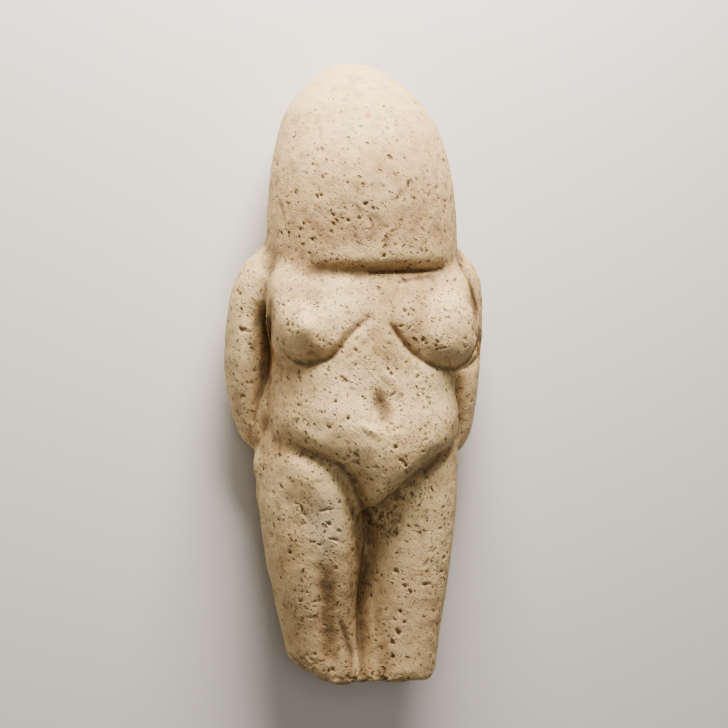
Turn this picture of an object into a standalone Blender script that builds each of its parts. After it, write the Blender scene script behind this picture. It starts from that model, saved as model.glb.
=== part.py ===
"""An ancient stone figurine of a standing woman, broken off at the knees and lying on its back.

It is carved from one piece of porous stone, so it is one solid. X runs across the figure, Y runs up
it from the break to the crown, and Z runs out of its front. It rests on Z = 0 on two worn flats.
The masses are fused first, then carved with strokes that are laid out as a viewer sees them.
"""

import math

import bmesh
import bpy
import numpy as np
from mathutils import Euler, Matrix, Vector

# Driving sizes, in metres
FIGURE_LENGTH = 0.200  # from the lowest point of the break to the crown
ROUGH_VOXEL = 0.0012  # grid that fuses the masses
FINE_VOXEL = 0.0009  # grid that evens out the carved form
MOST_TRIANGLES = 9600  # triangles of the finished solid

# Every place and size below is in hundredths of the figure's length, as across, along and up.
# Along is counted from the break, up from the middle of the body. ORIGIN is the place of the origin.
PERCENT = FIGURE_LENGTH / 100
ORIGIN = (0.7, 50.6, -12.5)

# The head is turned: half outline as radius and along, from under the rim to the crown.
HEAD_OUTLINE = [
    (0.0, 65.2),
    (11.0, 65.4),
    (14.4, 66.2),
    (15.3, 67.2),
    (15.5, 69.0),
    (15.5, 71.6),
    (15.3, 75.8),
    (14.9, 80.5),
    (14.3, 84.5),
    (13.3, 88.4),
    (11.7, 92.2),
    (10.0, 94.3),
    (8.2, 96.2),
    (6.2, 98.0),
    (4.2, 99.2),
    (2.1, 100.0),
    (0.0, 100.3),
]
HEAD_FLATNESS = 0.84  # depth of the head over its width
HEAD_CENTRE = (0.7, 0.4)  # across and up
HEAD_LEAN = (-1.0, -3.8)  # across and up, at the crown

# The trunk and lower belly: along, middle across, half width, front, back, squareness
TRUNK = [
    (72.0, 0.4, 10.5, 7.5, -6.5, 2.2),
    (68.0, 0.3, 13.2, 10.6, -8.6, 2.3),
    (64.0, 0.2, 14.6, 12.0, -10.2, 2.4),
    (60.0, 0.0, 15.0, 13.0, -10.8, 2.5),
    (55.0, 0.0, 15.0, 13.4, -10.6, 2.5),
    (51.0, 0.0, 14.8, 13.2, -10.0, 2.4),
    (47.0, 0.1, 14.9, 13.4, -9.8, 2.4),
    (43.5, 0.2, 15.2, 14.1, -9.6, 2.4),
    (40.5, 0.3, 15.0, 14.6, -9.4, 2.3),
    (39.0, 0.5, 13.9, 14.7, -8.8, 2.3),
    (37.5, 0.6, 11.2, 14.7, -8.0, 2.2),
    (35.0, 1.1, 7.0, 14.2, -6.0, 2.1),
    (33.5, 0.8, 5.2, 13.7, -5.0, 2.0),
    (32.0, 0.2, 3.8, 13.0, -4.0, 2.0),
    (30.2, -0.6, 2.2, 12.0, -2.0, 2.0),
    (29.0, -0.8, 1.0, 10.6, 0.0, 2.0),
]

# Each mass is an ellipsoid: centre, half sizes and turn in degrees about X, Y and Z.
MASSES = {
    "shoulders": ((0.8, 62.4, -1.6), (17.6, 8.2, 8.4), (0, 0, 0)),
    "hips": ((0.3, 35.6, -1.4), (17.2, 9.0, 8.8), (0, 0, 0)),
    "left_buttock": ((-7.2, 31.5, -5.4), (8.2, 9.5, 8.0), (0, 0, 0)),
    "right_buttock": ((7.2, 31.5, -5.4), (8.2, 9.5, 8.0), (0, 0, 0)),
    "left_breast": ((-10.9, 57.6, 6.6), (5.6, 6.6, 5.6), (-12, -16, 12)),
    "left_breast_root": ((-10.6, 62.0, 5.0), (5.4, 6.8, 5.4), (-14, 0, 0)),
    "right_breast": ((10.5, 57.4, 7.6), (6.6, 7.2, 5.8), (-12, 16, -16)),
    "right_breast_root": ((11.2, 61.8, 5.0), (6.0, 7.0, 5.6), (-14, 0, 0)),
    "right_breast_end": ((13.6, 53.8, 8.0), (4.2, 3.4, 4.4), (0, 0, 0)),
    "left_hand": ((-5.6, 41.8, -9.2), (4.6, 3.2, 2.9), (0, 0, -12)),
    "right_hand": ((5.4, 38.8, -9.6), (4.6, 3.2, 2.9), (0, 0, 14)),
}

# Each limb is a tube through these points, with its radius at each.
LIMBS = {
    "left_thigh": [
        ((-8.6, 40.5, -0.6), 7.0),
        ((-8.5, 33.5, 0.2), 8.1),
        ((-7.5, 23.0, 0.3), 7.9),
        ((-7.0, 15.0, 0.1), 6.7),
        ((-5.9, 7.0, -0.4), 5.6),
        ((-5.0, -4.0, -0.8), 4.9),
    ],
    "right_thigh": [
        ((8.8, 40.5, -0.6), 7.0),
        ((8.6, 33.5, 0.2), 8.0),
        ((8.2, 23.0, 0.3), 7.4),
        ((7.5, 15.0, 0.1), 6.9),
        ((7.0, 7.0, -0.4), 6.4),
        ((6.4, -4.0, -0.8), 5.9),
    ],
    "web": [
        ((-0.4, 32.0, -1.0), 4.6),
        ((-0.4, 15.0, -1.0), 3.9),
        ((0.2, 4.0, -0.8), 5.0),
        ((0.3, -4.0, -0.8), 5.4),
    ],
    "left_arm": [
        ((-11.6, 68.0, -2.6), 3.6),
        ((-14.9, 66.0, -2.6), 4.3),
        ((-16.6, 59.0, -2.8), 4.2),
        ((-17.2, 52.0, -3.2), 4.0),
        ((-16.2, 46.0, -4.2), 4.1),
        ((-13.9, 40.2, -6.2), 4.0),
        ((-8.6, 41.6, -8.6), 3.2),
        ((-5.0, 42.2, -9.0), 2.8),
    ],
    "right_arm": [
        ((13.6, 68.6, -2.6), 3.8),
        ((17.4, 66.6, -2.6), 4.3),
        ((17.9, 59.0, -2.8), 4.2),
        ((17.8, 52.0, -3.2), 4.0),
        ((17.4, 45.5, -3.6), 4.0),
        ((16.4, 38.4, -5.6), 4.0),
        ((9.0, 38.6, -8.6), 3.2),
        ((5.0, 39.2, -9.2), 2.8),
    ],
}
LIMB_DEPTH = 1.14  # the limbs are this much deeper than they are wide

# Strokes are laid out as they are seen from EYE_DISTANCE in front of the figure, EYE_TURN to its left
# for the front, or straight from behind for the back. Each point is across, along and depth of the cut.
# A stroke reaches its first width to its left and its second width to its right. The last value, where
# there is one, is how hollow its sides are: 1 is flat. A depth below zero raises the skin.
EYE_TURN = 16.0
EYE_DISTANCE = 275.0
EYE_ACROSS = 1.0
EYE_ALONG = 51.5
FRONT_GROOVES = {
    "rim": (
        [(-12.4, 65.6, 0.1), (-9.8, 65.9, 0.4), (-6.0, 66.0, 0.8), (-1.2, 66.0, 1.2), (4.4, 66.1, 1.4)]
        + [(10.0, 66.3, 1.3), (14.0, 66.6, 0.8), (16.0, 67.3, 0.1)],
        (2.0, 0.6),
    ),
    "left_breast": (
        [(-13.0, 56.6, 0.1), (-11.9, 54.1, 0.6), (-10.2, 52.2, 1.0), (-8.2, 51.4, 1.2), (-6.0, 51.8, 1.1)]
        + [(-3.8, 52.8, 0.8), (-1.5, 55.7, 0.6), (0.7, 57.9, 0.4), (2.8, 59.4, 0.0)],
        (2.0, 1.2),
    ),
    "right_breast": (
        [(5.0, 58.2, 0.1), (5.9, 56.8, 0.8), (7.2, 54.9, 1.1), (8.9, 53.1, 1.3), (10.8, 51.7, 1.3)]
        + [(12.9, 50.9, 1.4), (14.9, 50.5, 1.4), (16.2, 51.0, 1.1), (17.6, 52.4, 0.7), (18.7, 54.3, 0.3)]
        + [(19.0, 56.0, 0.1)],
        (2.3, 0.6),
    ),
    "left_armpit": (
        [(-13.9, 61.6, 0.2), (-13.6, 59.8, 1.3), (-13.6, 57.4, 2.0), (-13.8, 54.6, 2.3), (-14.0, 52.0, 2.3)]
        + [(-14.3, 49.6, 2.1), (-15.1, 46.6, 1.7), (-16.0, 43.8, 1.2), (-16.6, 41.2, 0.6)]
        + [(-16.8, 39.2, 0.1)],
        (0.7, 4.2),
        1.1,
    ),
    "right_armpit": (
        [(17.7, 65.0, 0.2), (18.3, 62.7, 0.9), (18.9, 60.2, 1.0), (19.1, 57.6, 0.3)],
        (0.8, 0.9),
    ),
    "right_flank": (
        [(18.0, 52.2, 0.2), (16.6, 49.6, 0.8), (16.1, 47.0, 1.0), (16.1, 42.7, 1.0), (15.3, 40.0, 0.7)]
        + [(15.9, 38.1, 0.1)],
        (1.6, 0.8),
    ),
    "left_fold": (
        [(-12.7, 41.3, 0.1), (-11.0, 39.4, 0.7), (-9.2, 38.1, 1.0), (-6.8, 37.0, 1.2), (-4.6, 36.0, 1.4)]
        + [(-2.8, 34.9, 1.6), (-1.2, 33.0, 1.9), (-0.2, 30.6, 2.3), (0.8, 28.2, 2.3), (1.2, 25.9, 2.1)]
        + [(1.3, 23.4, 1.6)],
        (3.0, 0.8),
    ),
    "right_fold": (
        [(15.9, 42.2, 0.1), (15.6, 40.2, 0.5), (14.4, 37.4, 0.9), (12.2, 35.3, 1.1), (10.0, 33.3, 1.1)]
        + [(7.9, 31.4, 1.2), (5.7, 29.7, 1.3), (3.6, 28.3, 1.3), (2.0, 27.2, 1.2)],
        (0.9, 2.6),
    ),
    "legs": (
        [(1.4, 26.9, 0.9), (1.3, 23.4, 1.9), (0.9, 20.3, 2.4), (0.4, 16.8, 2.7), (0.0, 13.4, 2.7)]
        + [(0.0, 9.6, 2.3), (0.4, 5.8, 1.5), (0.8, 2.2, 0.7), (0.8, -4.0, 0.6)],
        (2.4, 0.8),
    ),
    "left_thigh_edge": (
        [(-13.0, 38.4, 0.0), (-10.6, 36.5, -0.6), (-8.0, 35.2, -0.9), (-5.6, 34.2, -1.1), (-3.9, 32.9, -1.2)]
        + [(-2.6, 31.0, -1.2), (-1.6, 28.4, -1.0), (-1.1, 25.5, -0.8), (-1.3, 21.0, -0.6)]
        + [(-1.8, 16.0, -0.4), (-2.0, 11.0, 0.0)],
        (1.1, 3.8),
        1.1,
    ),
    "left_leg_valley": (
        [(-4.8, 21.0, 0.0), (-5.2, 16.0, 0.5), (-5.2, 11.0, 0.8), (-5.4, 6.0, 0.7), (-5.6, 1.0, 0.4)],
        (2.0, 2.6),
    ),
    "thigh_line": (
        [(-3.0, 11.0, 0.1), (-2.3, 9.1, 0.5), (-1.7, 7.0, 0.6), (-1.0, 5.0, 0.5), (-0.6, 3.2, 0.1)],
        (1.0, 1.0),
    ),
    "navel": (
        [(3.4, 47.4, 0.2), (3.6, 45.9, 1.2), (4.0, 44.5, 1.8), (4.5, 43.0, 1.6), (4.9, 41.9, 0.1)],
        (1.0, 1.4),
    ),
}
BACK_GROOVES = {
    "neck": (
        [(-15.4, 67.6, 0.1), (-8.0, 66.4, 0.9), (0.0, 66.2, 1.1), (8.0, 66.4, 0.9), (15.4, 67.6, 0.1)],
        (0.9, 2.6),
    ),
    "spine": ([(0.0, 62.0, 0.1), (0.0, 56.0, 0.6), (0.0, 50.0, 0.8), (0.0, 45.0, 0.1)], (2.4, 2.4)),
    "cleft": (
        [(0.0, 40.5, 0.2), (0.0, 36.0, 1.8), (0.0, 30.0, 2.6), (0.0, 25.0, 2.4), (0.0, 22.0, 2.0)],
        (1.8, 1.8),
    ),
    "legs": ([(0.0, 24.0, 1.4), (0.0, 16.0, 2.0), (0.0, 8.0, 1.6), (0.0, -4.0, 1.0)], (1.8, 1.8)),
    "left_seat": ([(-14.0, 25.2, 0.1), (-9.0, 23.0, 0.8), (-4.0, 22.6, 0.9), (-0.8, 24.0, 0.6)], (1.2, 2.8)),
    "right_seat": ([(0.8, 24.0, 0.6), (4.0, 22.6, 0.9), (9.0, 23.0, 0.8), (14.0, 25.2, 0.1)], (1.2, 2.8)),
}
# Soft swellings and hollows: across, along, reach across, reach along, turn, height
FRONT_SWELLS = {
    "left_tip": (-8.5, 58.0, 2.1, 2.2, -15, 1.4),
    "above_left_tip": (-8.0, 61.8, 3.6, 1.3, -10, -0.5),
    "left_lower_breast": (-6.4, 54.4, 4.4, 2.4, 15, 1.0),
    "left_inner_breast": (-4.6, 58.6, 4.0, 4.6, 30, 0.9),
    "right_inner_breast": (8.4, 59.0, 3.6, 4.6, -35, 0.7),
    "right_tip": (13.6, 54.2, 3.8, 3.2, -40, 0.7),
    "left_collar": (-14.2, 64.4, 3.4, 2.6, 0, 0.45),
    "belly": (1.4, 40.5, 10.0, 9.5, 0, 0.5),
    "around_navel": (4.0, 44.4, 2.8, 4.0, 0, -0.7),
    "under_navel": (2.6, 40.4, 2.4, 1.3, -12, 0.3),
    "left_flank": (-4.0, 39.6, 6.5, 2.4, -35, -0.9),
    "left_groin": (-7.4, 32.6, 5.6, 3.4, -38, 1.3),
    "left_inner_thigh": (-3.4, 26.0, 3.0, 7.0, 0, 0.7),
    "right_groin": (10.0, 31.0, 4.5, 4.0, 35, 0.5),
}
BREAK_ROUGHNESS = 0.35  # height of the lumps of the broken end
BREAK_CHIP = 4.2  # height of the corner that is missing on the left
STONE_COLOUR = (0.62, 0.52, 0.40, 1.0)


def place(across, along, up):
    """A point in hundredths of the length as a point in metres."""
    return (Vector((across, along, up)) - Vector(ORIGIN)) * PERCENT


def new_object(name, mesh, collection):
    thing = bpy.data.objects.new(name, mesh)
    collection.objects.link(thing)
    return thing


def mesh_from(bm, name):
    mesh = bpy.data.meshes.new(name)
    bm.to_mesh(mesh)
    bm.free()
    return mesh


def baked(thing):
    """The mesh of an object as its modifiers leave it."""
    graph = bpy.context.evaluated_depsgraph_get()
    return bpy.data.meshes.new_from_object(thing.evaluated_get(graph))


def head_mesh():
    """The tall dome of the head: a turned form, flattened and leaning back towards the crown."""
    bm = bmesh.new()
    outline = [bm.verts.new(place(radius, along, 0)) for radius, along in HEAD_OUTLINE]
    edges = [bm.edges.new(pair) for pair in zip(outline, outline[1:])]
    middle = place(0, 0, 0)
    bmesh.ops.spin(bm, geom=outline + edges, cent=middle, axis=(0, 1, 0), angle=2 * math.pi, steps=64)
    bmesh.ops.remove_doubles(bm, verts=bm.verts, dist=0.00001)
    bmesh.ops.recalc_face_normals(bm, faces=bm.faces)
    for vert in bm.verts:
        share = max(0.0, vert.co.y / PERCENT + ORIGIN[1] - 68) / 32
        vert.co.x += (HEAD_CENTRE[0] + HEAD_LEAN[0] * share**6) * PERCENT
        vert.co.z = middle.z + (vert.co.z - middle.z) * HEAD_FLATNESS
        vert.co.z += (HEAD_CENTRE[1] + HEAD_LEAN[1] * share**2) * PERCENT
    return mesh_from(bm, "head")


def trunk_mesh():
    """The trunk: one loft through sections that change in width, depth and squareness."""
    corners = 64
    bm = bmesh.new()
    rings = []
    for along, middle, half, front, back, square in TRUNK:
        ring = []
        for corner in range(corners):
            angle = 2 * math.pi * corner / corners
            side, rise = math.cos(angle), math.sin(angle)
            across = middle + half * math.copysign(abs(side) ** (2 / square), side)
            height = (front - back) / 2 * math.copysign(abs(rise) ** (2 / square), rise)
            ring.append(bm.verts.new(place(across, along, (front + back) / 2 + height)))
        rings.append(ring)
    for one, two in zip(rings, rings[1:]):
        for corner in range(corners):
            after = (corner + 1) % corners
            bm.faces.new((one[corner], one[after], two[after], two[corner]))
    bm.faces.new(rings[0])
    bm.faces.new(rings[-1])
    bmesh.ops.recalc_face_normals(bm, faces=bm.faces)
    return mesh_from(bm, "trunk")


def limb_mesh(name, points, collection):
    """A tube of changing radius, deeper than it is wide."""
    curve = bpy.data.curves.new(name, "CURVE")
    curve.dimensions = "3D"
    curve.bevel_depth = 1.0
    curve.bevel_resolution = 6
    curve.resolution_u = 8
    curve.use_fill_caps = True
    spline = curve.splines.new("NURBS")
    spline.points.add(len(points) - 1)
    spline.use_endpoint_u = True
    spline.order_u = 3
    for point, ((across, along, up), radius) in zip(spline.points, points):
        point.co = (across * PERCENT, along * PERCENT, up * PERCENT / LIMB_DEPTH, 1)
        point.radius = radius * PERCENT
    tube = new_object(name, curve, collection)
    mesh = baked(tube)
    bpy.data.objects.remove(tube)
    mesh.transform(Matrix.Translation(place(0, 0, 0)) @ Matrix.Diagonal((1, 1, LIMB_DEPTH, 1)))
    return mesh


def masses_mesh():
    """Breasts, shoulders, hips and buttocks as ellipsoids."""
    bm = bmesh.new()
    for centre, halves, turn in MASSES.values():
        turned = Euler([math.radians(angle) for angle in turn]).to_matrix().to_4x4()
        sized = Matrix.Diagonal((*[half * PERCENT for half in halves], 1))
        matrix = Matrix.Translation(place(*centre)) @ turned @ sized
        bmesh.ops.create_uvsphere(bm, u_segments=48, v_segments=28, radius=1, matrix=matrix)
    return mesh_from(bm, "masses")


def rough_block(collection):
    """All the masses of the figure in one object, still overlapping."""
    bm = bmesh.new()
    for mesh in (head_mesh(), trunk_mesh(), masses_mesh()):
        bm.from_mesh(mesh)
    for name, points in LIMBS.items():
        bm.from_mesh(limb_mesh(name, points, collection))
    return new_object("figurine", mesh_from(bm, "figurine"), collection)


def fuse(thing, voxel, rounds):
    """Fuses overlapping shapes into one skin, and softens it."""
    remesh = thing.modifiers.new("fuse", "REMESH")
    remesh.mode = "VOXEL"
    remesh.voxel_size = voxel
    soften = thing.modifiers.new("soften", "SMOOTH")
    soften.factor = 0.5
    soften.iterations = rounds
    mesh = baked(thing)
    thing.modifiers.clear()
    thing.data = mesh


def smooth_path(points, steps=6):
    """A curve through the points, with their other values carried along."""
    knots = np.array([points[0], *points, points[-1]], dtype=float)
    line = []
    for first in range(len(points) - 1):
        before, one, two, after = knots[first : first + 4]
        for step in range(steps):
            t = step / steps
            line.append(
                0.5 * (2 * one + (two - before) * t + (2 * before - 5 * one + 4 * two - after) * t**2)
                + 0.5 * (3 * one - before - 3 * two + after) * t**3
            )
    line.append(knots[-1])
    return np.array(line)


class Carver:
    """Pushes the skin of a figure towards or away from one eye."""

    def __init__(self, thing, turn):
        self.mesh = thing.data
        count = len(self.mesh.vertices)
        self.points = np.empty(count * 3)
        normals = np.empty(count * 3)
        self.mesh.vertices.foreach_get("co", self.points)
        self.mesh.vertices.foreach_get("normal", normals)
        self.points = self.points.reshape(-1, 3) / PERCENT + ORIGIN
        angle = math.radians(turn)
        right = np.array((math.cos(angle), 0, math.sin(angle)))
        toward = np.array((-math.sin(angle), 0, math.cos(angle)))
        side = EYE_ACROSS if math.cos(angle) > 0 else 0
        eye = toward * EYE_DISTANCE + right * side + np.array((0, EYE_ALONG, 0))
        ray = self.points - eye
        reach = -ray @ toward
        self.across = side + (ray @ right) / reach * EYE_DISTANCE
        self.along = EYE_ALONG + ray[:, 1] / reach * EYE_DISTANCE
        self.toward_eye = -ray / np.linalg.norm(ray, axis=1)[:, None]
        faced = np.sum(normals.reshape(-1, 3) * self.toward_eye, axis=1)
        self.faced = np.clip((faced + 0.05) / 0.3, 0, 1)
        self.push = np.zeros(count)

    def groove(self, points, widths, hollowness=1.6):
        """Cuts along a path, deepest on the path itself."""
        line = smooth_path(points)
        nearest = np.full(len(self.push), 1e9)
        depth = np.zeros(len(self.push))
        on_left = np.zeros(len(self.push), dtype=bool)
        for one, two in zip(line, line[1:]):
            run = two[:2] - one[:2]
            length = run @ run + 1e-12
            from_one = np.stack((self.across - one[0], self.along - one[1]), axis=1)
            share = np.clip(from_one @ run / length, 0, 1)
            apart = from_one - share[:, None] * run
            distance = np.hypot(apart[:, 0], apart[:, 1])
            closer = distance < nearest
            nearest = np.where(closer, distance, nearest)
            depth = np.where(closer, one[2] + (two[2] - one[2]) * share, depth)
            on_left = np.where(closer, run[0] * from_one[:, 1] - run[1] * from_one[:, 0] > 0, on_left)
        width = np.where(on_left, widths[0], widths[1])
        fall = np.clip(1 - nearest / width, 0, 1)
        self.push -= depth * fall**hollowness * self.faced

    def swell(self, across, along, reach_across, reach_along, turn, height):
        """Raises or hollows a soft oval."""
        angle = math.radians(turn)
        x, y = self.across - across, self.along - along
        one = (x * math.cos(angle) + y * math.sin(angle)) / reach_across
        two = (y * math.cos(angle) - x * math.sin(angle)) / reach_along
        self.push += height * np.exp(-(one**2 + two**2) * 1.4) * self.faced

    def finish(self):
        moved = self.points + self.toward_eye * self.push[:, None]
        moved = (moved - ORIGIN) * PERCENT
        self.mesh.vertices.foreach_set("co", moved.ravel())
        self.mesh.update()


def carve(figurine):
    front = Carver(figurine, EYE_TURN)
    for swell in FRONT_SWELLS.values():
        front.swell(*swell)
    for groove in FRONT_GROOVES.values():
        front.groove(*groove)
    front.finish()
    back = Carver(figurine, 180)
    for groove in BACK_GROOVES.values():
        back.groove(*groove)
    back.finish()


def cut_away(figurine, cutter):
    """Takes the cutter out of the figurine."""
    cutter.hide_render = True
    cutter.display_type = "WIRE"
    boolean = figurine.modifiers.new("cut", "BOOLEAN")
    boolean.operation = "DIFFERENCE"
    boolean.solver = "EXACT"
    boolean.object = cutter
    mesh = baked(figurine)
    figurine.modifiers.clear()
    figurine.data = mesh


def lump(across, up):
    """Height of the broken end at a place of it, from waves of three sizes."""
    coarse = math.sin(across * 0.55 + 1.1) * math.cos(up * 0.5 - 0.6)
    middle = math.sin(across * 1.3 + up * 0.9 + 0.4)
    fine = math.sin(across * 2.2 - up * 1.9) * math.cos(up * 2.0 + across * 0.7)
    return BREAK_ROUGHNESS * (coarse + 0.6 * middle + 0.3 * fine)


def break_off(figurine, collection):
    """Cuts the legs off at the knees along a lumpy break with one corner chipped away."""
    bm = bmesh.new()
    bmesh.ops.create_cube(bm, size=2)
    bmesh.ops.subdivide_edges(bm, edges=bm.edges, cuts=44, use_grid_fill=True)
    for vert in bm.verts:
        across, up = vert.co.x * 22, vert.co.z * 16
        along = -24.0
        if vert.co.y > 0.99:
            chip = BREAK_CHIP * max(0.0, (-4.4 - across) / 6.5) ** 1.4
            corner = 2.2 * max(0.0, (across - 10.8) / 2.4) ** 1.5
            along = min(0.9 + 0.07 * up + lump(across, up) + chip + corner, 12.0)
        vert.co = place(across, along + (vert.co.y - 1) * 0.01, up)
    cut_away(figurine, new_object("break_cutter", mesh_from(bm, "break_cutter"), collection))


def rest_on_floor(figurine, collection):
    """Wears the flats into the back, and centres the figurine over the origin."""
    bm = bmesh.new()
    size = 2 * FIGURE_LENGTH
    bmesh.ops.create_cube(bm, size=size, matrix=Matrix.Translation((0, 0, -size / 2)))
    cut_away(figurine, new_object("floor_cutter", mesh_from(bm, "floor_cutter"), collection))
    places = np.empty(len(figurine.data.vertices) * 3)
    figurine.data.vertices.foreach_get("co", places)
    places = places.reshape(-1, 3)
    middle = (places.min(axis=0) + places.max(axis=0)) / 2
    figurine.data.transform(Matrix.Translation((-middle[0], -middle[1], 0)))


def thin_out(figurine):
    """Lowers the number of triangles, more where the skin is plain."""
    decimate = figurine.modifiers.new("thin_out", "DECIMATE")
    decimate.ratio = MOST_TRIANGLES / (2 * len(figurine.data.polygons))
    mesh = baked(figurine)
    figurine.modifiers.clear()
    figurine.data = mesh


def main():
    for thing in list(bpy.data.objects):
        bpy.data.objects.remove(thing)
    collection = bpy.data.collections.new("figurine_of_a_woman")
    cutters = bpy.data.collections.new("cutters")
    bpy.context.scene.collection.children.link(collection)
    bpy.context.scene.collection.children.link(cutters)
    figurine = rough_block(collection)
    fuse(figurine, ROUGH_VOXEL, 5)
    fuse(figurine, FINE_VOXEL, 2)
    carve(figurine)
    break_off(figurine, cutters)
    fuse(figurine, FINE_VOXEL, 1)
    thin_out(figurine)
    rest_on_floor(figurine, cutters)
    stone = bpy.data.materials.new("porous_stone")
    stone.use_nodes = True
    shader = stone.node_tree.nodes["Principled BSDF"]
    shader.inputs["Base Color"].default_value = STONE_COLOUR
    shader.inputs["Roughness"].default_value = 0.9
    figurine.data.materials.clear()
    figurine.data.materials.append(stone)


main()
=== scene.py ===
import math

import bpy
import numpy as np
from mathutils import Matrix, Vector, kdtree


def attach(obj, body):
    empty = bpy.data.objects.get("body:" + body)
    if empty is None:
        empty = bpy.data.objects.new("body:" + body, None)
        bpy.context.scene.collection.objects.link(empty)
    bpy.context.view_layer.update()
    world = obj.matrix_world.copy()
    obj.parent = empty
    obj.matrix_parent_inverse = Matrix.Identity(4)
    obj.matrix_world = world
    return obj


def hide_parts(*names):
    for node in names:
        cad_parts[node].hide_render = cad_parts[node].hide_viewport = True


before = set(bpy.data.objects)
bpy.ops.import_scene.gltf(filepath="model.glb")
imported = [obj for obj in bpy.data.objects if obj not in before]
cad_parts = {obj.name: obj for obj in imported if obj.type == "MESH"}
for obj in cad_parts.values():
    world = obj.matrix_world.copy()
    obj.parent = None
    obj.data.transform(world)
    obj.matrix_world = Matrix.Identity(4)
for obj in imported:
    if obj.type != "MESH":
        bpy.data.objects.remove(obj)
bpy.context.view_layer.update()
bpy.ops.object.select_all(action="DESELECT")

# the block: one carved figurine; places on it are in hundredths of its length, grids in metres
block = {
    "node": "figurine",
    "slot": "porous_stone",
    "length": 0.200,
    "origin": (0.490, 50.117, -12.5),  # where the frame's origin is, as across, along, up
    "softGrid": 0.0009,
    "softRounds": 14,
    "fineGrid": 0.00042,
    "quickGrid": 0.0007,
    "fineRounds": 4,
    "carvedRounds": 3,
    "mostTriangles": 192000,
    "seed": 41,
}
percent = block["length"] / 100

# the eye that every front stroke is laid out from
eye = {"turn": 16.0, "distance": 275.0, "across": 1.04, "along": 51.5}
# strokes fade in where the skin turns towards the eye; none reaches further than the search
strokes = {"fadeFrom": 0.05, "fadeOver": 0.3, "search": 6, "swellFall": 1.4}


def show(step):
    print("figurine:", step)


def chooseOnly(thing):
    bpy.ops.object.select_all(action="DESELECT")
    thing.select_set(True)
    bpy.context.view_layer.objects.active = thing


def applyModifier(thing, kind, **values):
    chooseOnly(thing)
    modifier = thing.modifiers.new(kind.lower(), kind)
    for name, value in values.items():
        setattr(modifier, name, value)
    bpy.ops.object.modifier_apply(modifier=modifier.name)


def smooth(thing, rounds):
    applyModifier(thing, "SMOOTH", factor=0.5, iterations=rounds)


# a modifier that works only where the weight is more than nothing
def applyWhere(thing, name, weight, kind, **values):
    group = thing.vertex_groups.new(name=name)
    for index in np.nonzero(weight > 0.01)[0]:
        group.add([int(index)], float(weight[index]), "REPLACE")
    applyModifier(thing, kind, vertex_group=name, **values)
    thing.vertex_groups.remove(thing.vertex_groups[name])


def copyOfNode(node, name):
    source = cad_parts[node]
    thing = bpy.data.objects.new(name, source.data.copy())
    bpy.context.scene.collection.objects.link(thing)
    thing.data.materials.clear()
    chooseOnly(thing)
    bpy.ops.object.mode_set(mode="EDIT")
    bpy.ops.mesh.select_all(action="SELECT")
    bpy.ops.mesh.remove_doubles(threshold=0.00001)
    bpy.ops.mesh.normals_make_consistent(inside=False)
    bpy.ops.object.mode_set(mode="OBJECT")
    return thing


def readPoints(mesh, what="co"):
    values = np.empty(len(mesh.vertices) * 3)
    mesh.vertices.foreach_get(what, values)
    return values.reshape(-1, 3)


def writePoints(mesh, points):
    mesh.vertices.foreach_set("co", points.ravel())
    mesh.update()


# a rounded line through points
def smoothPath(points, steps=6):
    knots = np.array([points[0], *points, points[-1]], dtype=float)
    line = []
    for first in range(len(points) - 1):
        before, one, two, after = knots[first : first + 4]
        for step in range(steps):
            t = step / steps
            line.append(
                0.5 * (2 * one + (two - before) * t + (2 * before - 5 * one + 4 * two - after) * t**2)
                + 0.5 * (3 * one - before - 3 * two + after) * t**3
            )
    line.append(knots[-1])
    return np.array(line)


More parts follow.
